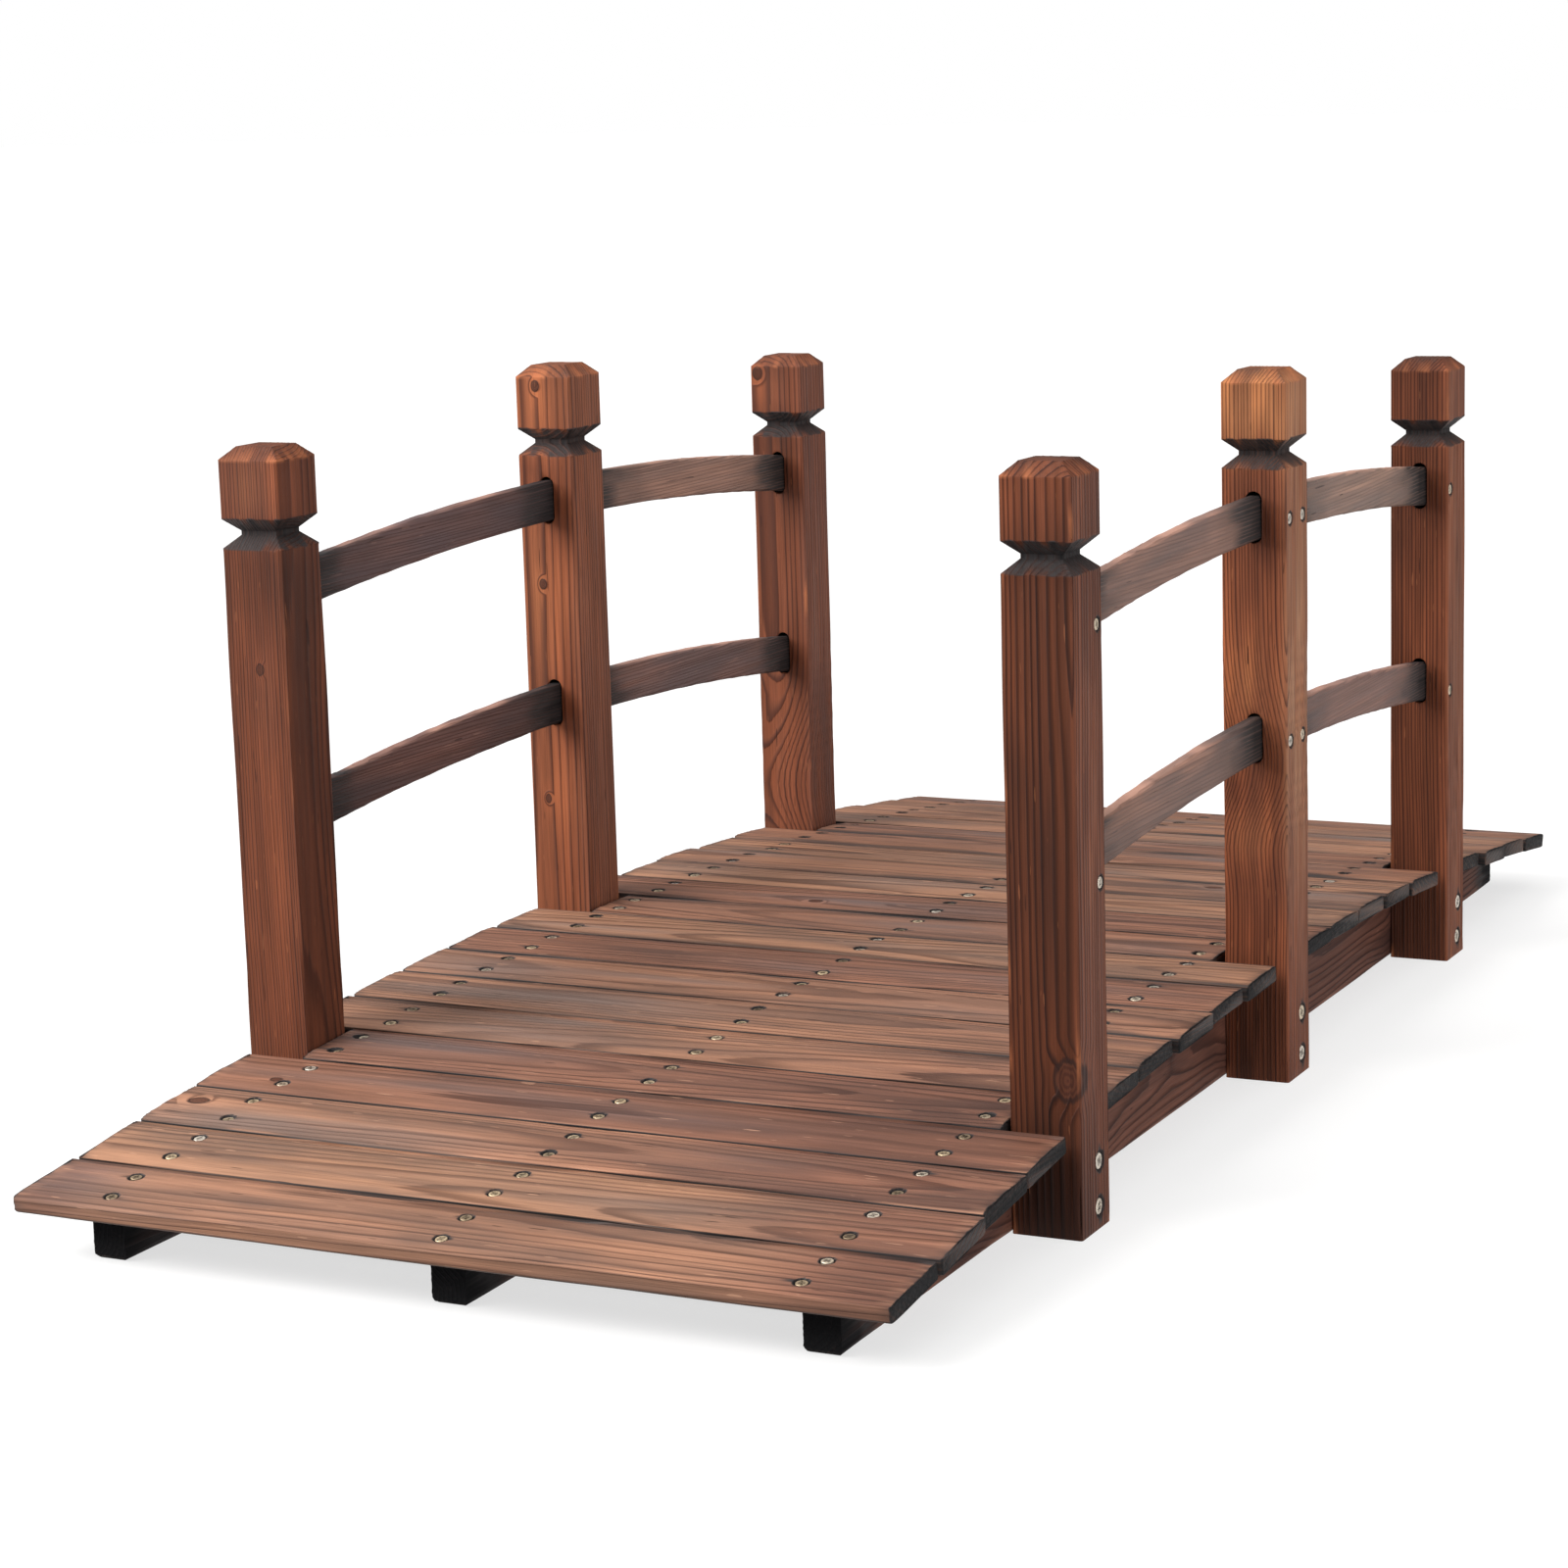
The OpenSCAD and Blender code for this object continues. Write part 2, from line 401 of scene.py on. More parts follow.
def weathered(name, node, bm, to_local, timber, marks, material):
    """Turns a sliced stick into a piece: grain attributes, charring, worn edges and tone with painted
    light and shade in them, brushed relief, material.
    """
    mesh = bpy.data.meshes.new(name)
    bm.normal_update()
    bm.to_mesh(mesh)
    bm.free()
    local = np.empty(len(mesh.vertices) * 3)
    normals = np.empty(len(mesh.vertices) * 3)
    mesh.vertices.foreach_get("co", local)
    mesh.vertices.foreach_get("normal", normals)
    local = local.reshape(-1, 3)
    normals = normals.reshape(-1, 3)
    years = timber.years(local)
    scorch, wear, relief, moved = marks(local, normals, timber)
    part = years % 1.0
    ridge = ease(0.45, 0.85, part) * (1.0 - ease(0.93, 1.0, part))
    uneven = timber.noise(local, (0.09, 0.03, 0.03), 51)
    lift = relief * (BRUSHED * (ridge - 0.5) + UNEVEN * uneven)
    shift = np.random.default_rng(timber.seed).uniform(0.0, 7.0, 3)
    marks_and_painted_light = np.column_stack([scorch, wear, timber.shade(local)])
    store(mesh, "years", "FLOAT", "value", years)
    store(mesh, "fibre", "FLOAT_VECTOR", "vector", local + shift)
    store(mesh, "greyed", "FLOAT", "value", timber.greyed(local))
    store(mesh, "knot", "FLOAT_VECTOR", "vector", timber.nearest_knot(local))
    store(mesh, "marks_and_painted_light", "FLOAT_VECTOR", "vector", marks_and_painted_light)
    mesh.vertices.foreach_set("co", (local + moved + normals * lift[:, None]).ravel())
    mesh.transform(to_local.inverted())
    piece = finished_piece(name, mesh, 40.0, material)
    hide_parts(node)


def board_place(number):
    """From the bridge to a board's own directions: length, width, and height over its underside."""
    tilt = (number - MIDDLE_BOARD) * BOARD_PITCH / ARCH_RADIUS
    centre = Matrix.Translation((0.0, 0.0, BEARER_MIDDLE_HEIGHT - ARCH_RADIUS))
    place = centre @ Matrix.Rotation(-tilt, 4, "X") @ Matrix.Translation((0.0, 0.0, ARCH_RADIUS))
    return place.inverted()


def board_screws(number):
    """Two screws over each bearer, as (along, across, head radius)."""
    dice = np.random.default_rng(BOARD_SCREW_SEED + number)
    return [
        (
            line + dice.uniform(-0.002, 0.002),
            side * BOARD_SCREW_SPREAD + dice.uniform(-0.0015, 0.0015),
            SCREW_HEAD,
        )
        for line in BEARER_LINES for side in (-1, 1)
    ]


def top_knot(along, across, radius, core):
    """A knot that looks up from a board's top."""
    return (along, across, BOARD_THICKNESS, radius, THROUGH, core)


def on_top(along, across, reaches, amount):
    """A lighter, darker or greyed place on a board's top."""
    return (along, across, BOARD_THICKNESS, reaches, amount)


BOARD_KNOTS = {
    1: (top_knot(-0.293, 0.019, 0.0030, False), top_knot(-0.166, 0.026, 0.0030, False)),
    3: (top_knot(-0.300, 0.006, 0.0060, True),),
    4: (top_knot(-0.268, -0.012, 0.0030, True),),
    8: (top_knot(0.060, 0.010, 0.0040, False),),
    12: (top_knot(-0.110, -0.014, 0.0045, True),),
    14: (top_knot(0.180, 0.012, 0.0050, True),),
    19: (top_knot(-0.050, 0.000, 0.0050, False),),
}

# The two front boards are seen closest: tone, ends darkened partly as stain and partly as painted shade,
# and greyed places
FRONT_BOARDS = {
    1: (
        0.545,
        (
            on_top(0.310, 0.000, (0.070, 0.2, 0.1), -0.27),
            on_top(-0.310, 0.000, (0.035, 0.2, 0.1), -0.13),
        ),
        (on_top(-0.300, 0.004, (0.040, 0.030, 0.02), 0.55),),
    ),
    2: (
        0.610,
        (on_top(0.300, 0.000, (0.120, 0.2, 0.1), -0.22),),
        (on_top(0.110, -0.010, (0.060, 0.014, 0.02), 0.30),),
    ),
}


def board_timber(number):
    seed = BOARD_TIMBER_SEED + number
    dice = np.random.default_rng(seed)
    heart = (dice.uniform(-0.03, 0.03), dice.choice((-1, 1)) * dice.uniform(0.03, 0.07))
    ring = dice.uniform(0.0030, 0.0048)
    drift = (dice.uniform(-0.03, 0.03), dice.uniform(-0.025, 0.025))
    tone = dice.uniform(0.38, 0.60) + 0.05 * ramp(11, 16, number)
    # Front boards darker toward the right end and lighter toward the left end: partly stain, partly
    # painted light and shade falling from the left
    right_end_stain_and_shade = on_top(0.24, 0.0, (0.16, 0.2, 0.1), -0.028 * max(0, 9 - number))
    left_end_stain_and_light = on_top(-0.24, 0.0, (0.14, 0.2, 0.1), 0.020 * max(0, 5 - number))
    smoky = [
        on_top(
            dice.uniform(-0.30, 0.30), dice.uniform(-0.02, 0.02),
            (dice.uniform(0.04, 0.11), dice.uniform(0.008, 0.022), 0.02), dice.uniform(0.15, 0.60),
        )
        for _ in range(3)
    ]
    tone, shades, smoky = FRONT_BOARDS.get(number, (tone, (right_end_stain_and_shade, left_end_stain_and_light), smoky))
    knots = BOARD_KNOTS.get(number, ())
    return Timber(seed, heart, ring, drift=drift, tone=tone, knots=knots, shades=shades, dull=smoky)


def edge_noise(timber, along, across, length, apart, layer):
    """Noise that varies along a board only, with a pattern of its own on each long edge."""
    places = np.column_stack([along / length, np.sign(across) * apart, across * 0.0])
    return smooth_noise(places, timber.seed + layer)


def board_marks(number):
    """Marks of one board: charred ends, painted shade in the gaps and on the underside, worn arrises that
    also carry a painted highlight, and a slightly uneven shape.
    """
    outer = {1: -1, BOARD_COUNT: 1}.get(number, 0)
    dice = np.random.default_rng(BOARD_MARKS_SEED + number)
    spread = 0.0010 if outer else 0.0036
    stagger = dice.uniform(-spread, spread, 2)
    skew = dice.uniform(-0.02, 0.02, 2)
    cup = dice.uniform(-0.0012, -0.0002)
    rock = dice.uniform(-0.0007, 0.0007)
    # Boards further back get stronger painted shade in their gaps
    further = ramp(4, 11, number)
    gap_shade_strength = dice.uniform(0.30, 0.75) + 0.20 * further
    thinner = dice.uniform(-0.0009, 0.0003)

    def marks(local, normals, timber):
        along, across, height = local.T
        upward = normals[:, THROUGH]
        off_middle = np.abs(across)
        from_edge = BOARD_WIDTH / 2 - off_middle
        from_end = np.abs(along).max() - np.abs(along)
        grit = timber.noise(local, (0.006, 0.004, 0.01), 5)
        long_grit = timber.noise(local, (0.045, 0.01, 0.01), 7)
        browned = timber.noise(local, (0.05, 0.016, 0.02), 19)
        patchy = edge_noise(timber, along, across, 0.08, 5.0, 15)
        wander = edge_noise(timber, along, across, 0.14, 3.0, 13)
        end_face = np.abs(normals[:, ALONG]) > 0.6
        inner_edge = (np.sign(across) != outer) & ~end_face
        outer_edge = (np.sign(across) == outer) & ~end_face
        top = ease(0.5, 0.8, upward)
        depth, countersink_shade = countersunk(local[:, :2], board_screws(number), DECK_SCREW_SINK, timber.seed)

        near_end = ease(0.0050, 0.0, from_end + 0.0018 * grit)
        by_the_gap = ease(0.024, 0.034, off_middle) * (0.36 + 0.24 * browned)
        charred = 1.12 - 0.66 * np.maximum(ease(0.15, 0.55, browned), by_the_gap)
        # Painted shade in the gaps between boards: dark flanks, dark lower arrises and a darker band along
        # each gap
        gap_flank_shade = ease(0.60, 0.25, upward) * inner_edge
        gap_slope_shade = ease(0.97, 0.75, upward) * inner_edge
        gap_edge_shade = ease(0.0100, 0.0010, from_edge + 0.0025 * long_grit) * inner_edge
        # Painted shade on the faces that look down
        underside = ease(0.2, -0.6, upward)
        scorch = np.maximum.reduce([
            np.where(end_face, charred, 0.42 * near_end),
            (0.82 + 0.18 * long_grit) * gap_flank_shade,
            gap_shade_strength * (0.55 + 0.45 * patchy) * gap_slope_shade,
            (0.24 + 0.42 * further) * (0.7 + 0.3 * patchy) * gap_edge_shade,
            0.5 * underside,
            # Painted shade in and round the countersinks
            0.92 * countersink_shade * top,
        ])

        # Pale worn arrises, which are also a painted highlight along the board edges
        arris_wear_and_highlight = ease(0.0034, 0.0012, from_edge) * ease(0.6, 0.8, upward)
        end_arris = ease(0.0030, 0.0005, from_end) * top
        wear = 0.85 * arris_wear_and_highlight * ease(0.10, 0.60, long_grit) + 0.5 * end_arris * ease(0.0, 0.5, grit)
        wear = np.maximum(wear, 0.22 * ease(0.8, 0.5, upward) * outer_edge)

        side = (along > 0).astype(int)
        end_pattern = np.column_stack([across / 0.009, height / 0.006, side * 9.0])
        ragged = 0.0005 * smooth_noise(end_pattern, timber.seed + 9)
        drawn_in = 0.0005 * (wander - 0.5) + 0.0004 * (long_grit - 0.4)
        rounded = ease(0.026, 0.0345, off_middle) * (0.6 + 0.4 * wander)
        across_share = across / (BOARD_WIDTH / 2)
        bowed = thinner + cup * across_share ** 2 + rock * across_share - 0.0017 * rounded
        moved = np.zeros_like(local)
        moved[:, ALONG] = np.sign(along) * (stagger[side] + skew[side] * across + ragged)
        moved[:, ALONG] *= ease(0.06, 0.004, from_end)
        moved[:, ACROSS] = np.sign(across) * ease(0.026, 0.034, off_middle) * drawn_in
        moved[:, THROUGH] = top * (bowed - depth)
        relief = np.where(upward < -0.5, 0.0, 1.0)
        return scorch, wear, relief, moved

    return marks


def deck_board(number, material):
    name = "deck_board_%02d" % number
    to_local = board_place(number)
    bm = plain_copy(name, to_local)
    soften(bm, BOARD_CORNERS, BOARD_SOFTNESS)
    half = BOARD_WIDTH / 2 - 0.003
    length = max(v.co.x for v in bm.verts) - END_INSET
    screw_lines = sorted({s[0] for s in board_screws(number)})
    up_the_edge = even_places(0.0, BOARD_THICKNESS, BOARD_EDGE_CUTS)
    slice_all(bm, ALONG, even_places(-length, length, ALONG_GRAIN))
    slice_faces(bm, ALONG, places_round(screw_lines, 0.006), lambda f: f.normal.z > 0.95)
    slice_faces(bm, THROUGH, up_the_edge, lambda f: abs(f.normal.y) > 0.7)
    slice_faces(bm, ACROSS, even_places(-half, half, 4 * ACROSS_GRAIN), lambda f: f.normal.z < -0.5)
    slice_faces(bm, ACROSS, even_places(-half, half, ACROSS_GRAIN), lambda f: f.normal.z > 0.5)
    weathered(
        "brushed_board_%02d" % number, name, bm, to_local, board_timber(number), board_marks(number),
        material,
    )


# Where a post's faces lie, across or through it
FRONT = -POST_HALF
CAP_FRONT = -0.020
RIGHT = 0.0285


def front_knot(height, across, radius):
    """A knot that looks out of a post's front."""
    return (height, across, FRONT, radius, THROUGH, True)


POST_TIMBERS = {
    "front_left_post": Timber(
        11, (-0.090, -0.020), 0.0025, tone=0.28,
        knots=(front_knot(0.360, 0.002, 0.0030),),
        shades=(
            # Painted shade, partly the wood's own tone: the right-hand face darker
            (0.26, 0.030, 0.0, (0.5, 0.012, 0.05), -0.11),
            (0.43, 0.000, FRONT, (0.05, 0.03, 0.02), -0.08),
            (0.35, 0.004, FRONT, (0.045, 0.008, 0.01), 0.17),
            (0.20, 0.012, FRONT, (0.10, 0.012, 0.02), 0.07),
            (0.28, -0.026, FRONT, (0.4, 0.006, 0.03), -0.10),
            (0.49, -0.004, CAP_FRONT, (0.03, 0.03, 0.04), 0.26),
        ),
        # Greyed right-hand face: partly faded stain, partly painted sheen
        dull=((0.26, RIGHT, 0.0, (0.5, 0.006, 0.05), 0.22),),
    ),
    "front_right_post": Timber(
        12, (0.026, -0.041), 0.0043, tone=0.145,
        knots=(front_knot(0.110, 0.0170, 0.0100),),
        shades=(
            (0.24, 0.0215, -0.0265, (0.22, 0.007, 0.010), -0.10),
            (0.50, -0.004, CAP_FRONT, (0.03, 0.03, 0.05), 0.19),
            # Painted light: the right-hand face lighter
            (0.29, 0.030, 0.0, (0.27, 0.008, 0.05), 0.33),
            # Painted shade under the deck: darker toward the foot
            (0.03, 0.000, FRONT, (0.06, 0.03, 0.02), -0.08),
            (0.38, -0.010, FRONT, (0.07, 0.014, 0.02), 0.04),
        ),
        # Greyed right-hand face: partly faded stain, partly painted sheen
        dull=((0.25, RIGHT, 0.0, (0.5, 0.006, 0.05), 0.35),),
    ),
    "middle_left_post": Timber(
        13, (-0.014, -0.060), 0.0034, tone=0.45,
        knots=(
            front_knot(0.529, -0.007, 0.0034),
            front_knot(0.366, -0.007, 0.0030),
            front_knot(0.186, -0.010, 0.0026),
        ),
        shades=(
            (0.355, -0.012, FRONT, (0.05, 0.010, 0.01), 0.10),
            # Painted shadows of the rails, right of the slots
            (0.43, 0.012, FRONT, (0.045, 0.012, 0.02), -0.16),
            (0.265, 0.012, FRONT, (0.045, 0.012, 0.02), -0.14),
            (0.455, -0.012, FRONT, (0.018, 0.018, 0.02), -0.14),
            (0.12, 0.000, FRONT, (0.05, 0.03, 0.02), -0.06),
            (0.52, 0.000, CAP_FRONT, (0.03, 0.03, 0.05), 0.06),
        ),
        # Greyed right-hand face: partly faded stain, partly painted sheen
        dull=((0.30, RIGHT, 0.0, (0.5, 0.006, 0.05), 0.45),),
    ),
    "middle_right_post": Timber(
        14, (0.060, -0.050), 0.0026, tone=0.40,
        bends=((0.25, 0.05, -0.012, 0.004), (0.19, 0.03, 0.006, 0.0)),
        shades=(
            (0.52, -0.004, CAP_FRONT, (0.035, 0.04, 0.05), 0.62),
            # Painted shadow of the upper rail, right of its slot
            (0.43, 0.010, FRONT, (0.05, 0.018, 0.02), -0.12),
            (0.31, -0.006, FRONT, (0.035, 0.018, 0.02), 0.22),
            (0.19, -0.004, FRONT, (0.022, 0.016, 0.02), 0.24),
            # Painted shadow under the lower rail
            (0.225, -0.014, FRONT, (0.014, 0.012, 0.02), -0.10),
            # Painted shade under the deck: darker toward the foot
            (0.04, 0.000, FRONT, (0.11, 0.05, 0.04), -0.22),
            # Painted light: the right-hand face lighter
            (0.32, RIGHT, 0.0, (0.22, 0.008, 0.05), 0.42),
        ),
        # Greyed right-hand face: partly faded stain, partly painted sheen
        dull=((0.32, RIGHT, 0.0, (0.3, 0.006, 0.05), 0.55),),
    ),
    "rear_left_post": Timber(
        15, (-0.012, -0.052), 0.0036, tone=0.31,
        bends=((0.12, 0.07, 0.016, 0.016), (0.21, 0.03, -0.006, 0.004)),
        knots=(front_knot(0.505, -0.018, 0.0044),),
        shades=(
            # Painted shadows of the rails, right of the slots
            (0.41, 0.010, FRONT, (0.05, 0.012, 0.02), -0.10),
            (0.24, 0.010, FRONT, (0.05, 0.012, 0.02), -0.08),
            (0.45, 0.000, FRONT, (0.02, 0.03, 0.02), -0.10),
            # Painted highlight and shade on the right-hand face
            (0.28, RIGHT, 0.0, (0.07, 0.008, 0.05), 0.12),
            (0.18, RIGHT, 0.0, (0.05, 0.008, 0.05), -0.06),
            (0.49, -0.006, CAP_FRONT, (0.02, 0.02, 0.05), 0.10),
        ),
        dull=(
            # Greyed right-hand face: partly faded stain, partly painted sheen
            (0.30, RIGHT, 0.0, (0.5, 0.006, 0.05), 0.65),
            (0.25, 0.000, FRONT, (0.5, 0.03, 0.01), 0.14),
        ),
    ),
    "rear_right_post": Timber(
        16, (0.050, -0.045), 0.0026, tone=0.19,
        shades=(
            (0.27, 0.002, FRONT, (0.05, 0.014, 0.02), 0.10),
            # Painted light: the right-hand face lighter
            (0.30, RIGHT, 0.0, (0.5, 0.008, 0.05), 0.36),
            (0.49, 0.000, CAP_FRONT, (0.03, 0.03, 0.05), 0.05),
        ),
        # Greyed right-hand face: partly faded stain, partly painted sheen
        dull=((0.30, RIGHT, 0.0, (0.5, 0.006, 0.05), 0.25),),
    ),
}


def outward_side(node):
    return -1 if "left" in node else 1


def post_screws(node):
    """Screws of a post's outer face, as (height, across the face, head radius)."""
    dice = np.random.default_rng(sum(map(ord, node)))
    planned = [(level, FOOT_OFFSET, FOOT_SCREW_HEAD) for level in FOOT_LEVELS]
    if node.startswith("middle"):
        planned += [
            (level, side * MIDDLE_RAIL_OFFSET, SCREW_HEAD)
            for level in MIDDLE_RAIL_LEVELS for side in (-1, 1)
        ]
    else:
        inward = 1 if node.startswith("front") else -1
        planned += [(level, inward * END_RAIL_OFFSET, SCREW_HEAD) for level in END_RAIL_LEVELS]
    return [
        (height + dice.uniform(-0.001, 0.001), across + dice.uniform(-0.0015, 0.0015), head)
        for height, across, head in planned
    ]


def post_marks(node):
    """Marks of one post: charred neck and mortises, worn corners, screws sunk in its outer face."""
    outward = outward_side(node)

    def marks(local, normals, timber):
        height, across, through = local.T
        top = height.max()
        grit = timber.noise(local, (0.012, 0.006, 0.006), 5)
        long_grit = timber.noise(local, (0.03, 0.01, 0.01), 7)
        below = top - height + 0.0010 * grit
        neck = ease(CAP_FOOT_BELOW_TOP - 0.0012, CAP_FOOT_BELOW_TOP + 0.0008, below)
        neck = neck * ease(SHOULDER_BELOW_TOP + 0.0012, SHOULDER_BELOW_TOP - 0.0008, below)
        inside = np.maximum(np.abs(across), np.abs(through)) < POST_HALF - 0.0012
        mortise = inside & (height < top - 0.08) & (height > 0.02)
        outer = ease(0.6, 0.9, normals[:, ACROSS] * outward)
        depth, countersink_shade = countersunk(local[:, [0, 2]], post_screws(node), POST_SCREW_SINK, timber.seed)

        neck_middle = (CAP_FOOT_BELOW_TOP + SHOULDER_BELOW_TOP) / 2
        lower_slope = ease(neck_middle, neck_middle + 0.006, below)
        crown = ease(CAP_BEVEL_HEIGHT + 0.001, CAP_BEVEL_HEIGHT - 0.002, below)
        scorch = np.maximum.reduce([
            np.where(mortise, 1.0, (0.86 - 0.22 * lower_slope) * neck),
            crown * (0.28 + 0.16 * long_grit),
            # Painted shade in and round the countersinks
            0.85 * countersink_shade * outer,
        ])

        side_edge = np.maximum(POST_HALF - np.abs(across), POST_HALF - np.abs(through))
        foot = ease(0.0050, 0.0010, height) * ease(0.0060, 0.0015, side_edge)
        eave = ease(0.0022, 0.0004, np.abs(below - CAP_BEVEL_HEIGHT)) * ease(-0.2, 0.6, grit)
        wear = np.maximum.reduce([
            0.7 * ease(0.0030, 0.0012, side_edge) * ease(0.2, 0.8, long_grit),
            0.7 * foot * ease(-0.1, 0.5, grit),
            0.55 * eave * ~mortise,
        ])

        moved = np.zeros_like(local)
        moved[:, ACROSS] = -outward * depth * outer
        head = ease(CAP_FOOT_BELOW_TOP + 0.012, CAP_FOOT_BELOW_TOP, below)
        relief = np.where(mortise | (neck > 0.3), 0.15, 1.0 - 0.5 * head)
        joined = (normals[:, ACROSS] * outward < -0.5) & (height < DECK_LEVEL)
        relief = np.where(joined | (height < 0.0008), 0.0, relief)
        return scorch, wear, relief, moved

    return marks


def post(node, material):
    low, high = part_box(node)
    centre = (low + high) / 2
    outward = outward_side(node)
    turn = Matrix(((0, 0, 1, 0), (1, 0, 0, 0), (0, 1, 0, 0), (0, 0, 0, 1)))
    to_local = turn @ Matrix.Translation((-centre.x, -centre.y, 0.0))
    bm = plain_copy(node, to_local)
    soften(bm, POST_CORNERS, POST_SOFTNESS)
    half = POST_HALF - 0.002
    fine = even_places(-half, half, ACROSS_GRAIN)
    screw_levels = sorted({s[0] for s in post_screws(node)})
    beside_edges = (SHOULDER_BELOW_TOP + 0.0016, CAP_FOOT_BELOW_TOP - 0.0016, CAP_BEVEL_HEIGHT + 0.0020)
    slice_all(bm, ALONG, even_places(END_INSET, high.z - END_INSET, ALONG_GRAIN))
    slice_all(bm, ALONG, [high.z - below for below in beside_edges])
    slice_faces(bm, ALONG, places_round(screw_levels, 0.008), lambda f: f.normal.y * outward > 0.95)
    slice_faces(bm, ACROSS, fine, lambda f: abs(f.normal.z) > 0.5 or f.normal.x > 0.9)
    slice_faces(bm, THROUGH, fine, lambda f: abs(f.normal.y) > 0.5)
    weathered(
        "brushed_" + node, node, bm, to_local, POST_TIMBERS[node], post_marks(node), material
    )


def long_stick(node, timber, marks, along_cuts, up_cuts, material):
    """A stick that lies along the bridge, with close cuts on its two tall faces."""
    low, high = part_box(node)
    centre = (low + high) / 2
    turn = Matrix(((0, 1, 0, 0), (-1, 0, 0, 0), (0, 0, 1, 0), (0, 0, 0, 1)))
    to_local = turn @ Matrix.Translation(-centre)
    bm = plain_copy(node, to_local)
    reach = max(v.co.x for v in bm.verts) - END_INSET
    bottom = min(v.co.z for v in bm.verts)
    top = max(v.co.z for v in bm.verts)
    slice_all(bm, ALONG, even_places(-reach, reach, along_cuts))
    slice_faces(bm, THROUGH, even_places(bottom, top, up_cuts), lambda f: abs(f.normal.y) > 0.5)
    weathered("brushed_" + node, node, bm, to_local, timber, marks, material)


# Each rail's tone and how grey the smoke left it
RAIL_TONES = {
    "front_left_upper_rail": (0.33, 0.60), "front_left_lower_rail": (0.27, 0.35),
    "front_right_upper_rail": (0.56, 0.20), "front_right_lower_rail": (0.57, 0.10),
    "rear_left_upper_rail": (0.60, 0.10), "rear_left_lower_rail": (0.46, 0.45),
    "rear_right_upper_rail": (0.66, 0.25), "rear_right_lower_rail": (0.50, 0.35),
}
WHOLE_RAIL = (2.0, 2.0, 2.0)


def rail_marks(local, normals, timber):
    """Marks of a rail: scorched toward both ends, worn along the top, and painted shade on the faces that
    look down.
    """
    along = local[:, ALONG]
    upward = normals[:, THROUGH]
    from_end = np.minimum(along - along.min(), along.max() - along)
    grit = timber.noise(local, (0.03, 0.008, 0.010), 5)
    scorch = 0.88 * ease(0.125, 0.025, from_end + 0.016 * grit)
    scorch = np.maximum(scorch, 0.34 * ease(0.20, 0.07, from_end + 0.03 * grit))
    wear = 0.75 * ease(0.35, 0.9, upward) * ease(-0.6, 0.4, grit) * (1.0 - scorch)
    # Painted shade on the faces that look down
    scorch = np.maximum(scorch, 0.35 * ease(-0.4, -0.9, upward))
    return scorch, wear, np.ones(len(local)), np.zeros_like(local)


def rail(node, number, material):
    seed = RAIL_SEED + number
    dice = np.random.default_rng(seed)
    tone, grey = RAIL_TONES[node]
    heart = (dice.uniform(-0.01, 0.01), dice.uniform(-0.09, -0.05))
    ring = dice.uniform(0.0022, 0.0034)
    drift = (0.0, dice.uniform(-0.02, 0.02))
    smoked = ((0.0, 0.0, 0.0, WHOLE_RAIL, grey),)
    timber = Timber(seed, heart, ring, drift=drift, tone=tone, dull=smoked)
    long_stick(node, timber, rail_marks, ALONG_GRAIN, 1.6 * ACROSS_GRAIN, material)


def bearer_marks(local, normals, timber):
    """Marks of a bearer: charred ends, worn lower edges; its top and underside stay flat."""
    along = local[:, ALONG]
    level = local[:, THROUGH] - local[:, THROUGH].min()
    from_end = along.max() - np.abs(along)
    grit = timber.noise(local, (0.01, 0.006, 0.006), 5)
    toward_end = 0.9 * ease(0.085, 0.015, from_end + 0.012 * grit)
    scorch = np.where(np.abs(normals[:, ALONG]) > 0.6, 1.0, toward_end)
    wear = 0.5 * ease(0.1, 0.7, grit) * ease(0.008, 0.002, level)
    still = (level < 0.0005) | (normals[:, THROUGH] > 0.5)
    return scorch, wear, np.where(still, 0.0, 1.0), np.zeros_like(local)


def bearer(node, number, material):
    seed = BEARER_SEED + number
    dice = np.random.default_rng(seed)
    waves = tuple(
        (
            dice.uniform(-0.65, 0.65), dice.uniform(0.03, 0.08),
            dice.uniform(-0.005, 0.005), dice.uniform(-0.009, 0.009),
        )
        for _ in range(10)
    )
    heart = (dice.uniform(0.018, 0.030), dice.uniform(-0.03, 0.02))
    ring = dice.uniform(0.0032, 0.0042)
    drift = (0.0, dice.uniform(-0.03, 0.03))
    timber = Timber(seed, heart, ring, drift=drift, tone=dice.uniform(0.32, 0.38), bends=waves)
    long_stick(node, timber, bearer_marks, 2 * ALONG_GRAIN, 1.8 * ACROSS_GRAIN, material)


